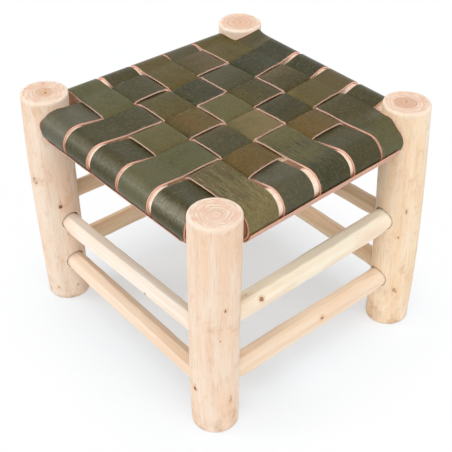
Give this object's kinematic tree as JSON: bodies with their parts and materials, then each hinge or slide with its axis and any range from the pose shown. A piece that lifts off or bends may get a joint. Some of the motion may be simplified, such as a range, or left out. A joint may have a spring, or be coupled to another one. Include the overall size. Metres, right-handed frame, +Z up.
{
  "type": "woven leather stool",
  "caption": "Low square stool: round peeled-pole legs, whittled rungs and a seat of broad green leather straps woven over and under and wrapped round the seat rails",
  "frame": {"origin": "on the floor, under the middle of the stool's outer box", "axes": "+X right and +Y back seen from the front, +Z up"},
  "size_m": [0.3639, 0.3504, 0.3028],
  "materials": {
    "leg_wood": "peeled pole, bare and dry, faint grain and knots",
    "rung_wood": "whittled flats, bare pale wood",
    "rail_wood": "peeled pole, bare pale wood",
    "strap_leather": "green dyed vegetable-tanned leather with raw pink cut edges",
    "binding_leather": "green dyed vegetable-tanned leather with raw pink cut edges",
    "tack_steel": "dull steel, domed head"
  },
  "bodies": {
    "root": {"leg_front_left": "leg_wood", "leg_front_right": "leg_wood", "leg_back_right": "leg_wood", "leg_back_left": "leg_wood", "rung_front_upper": "rung_wood", "rung_front_lower": "rung_wood", "rung_right_upper": "rung_wood", "rung_right_lower": "rung_wood", "rung_back_upper": "rung_wood", "rung_back_lower": "rung_wood", "rung_left_upper": "rung_wood", "rung_left_lower": "rung_wood", "seat_rail_front": "rail_wood", "seat_rail_right": "rail_wood", "seat_rail_back": "rail_wood", "seat_rail_left": "rail_wood", "strap_lengthwise_1": "strap_leather", "strap_lengthwise_2": "strap_leather", "strap_lengthwise_3": "strap_leather", "strap_lengthwise_4": "strap_leather", "strap_lengthwise_5": "strap_leather", "strap_crosswise_1": "strap_leather", "strap_crosswise_2": "strap_leather", "strap_crosswise_3": "strap_leather", "strap_crosswise_4": "strap_leather", "strap_crosswise_5": "strap_leather", "binding_strip_front": "binding_leather", "binding_strip_right": "binding_leather", "binding_strip_back": "binding_leather", "binding_strip_left": "binding_leather", "tacks_front": "tack_steel", "tacks_right": "tack_steel", "tacks_back": "tack_steel", "tacks_left": "tack_steel"}
  },
  "joints": []
}
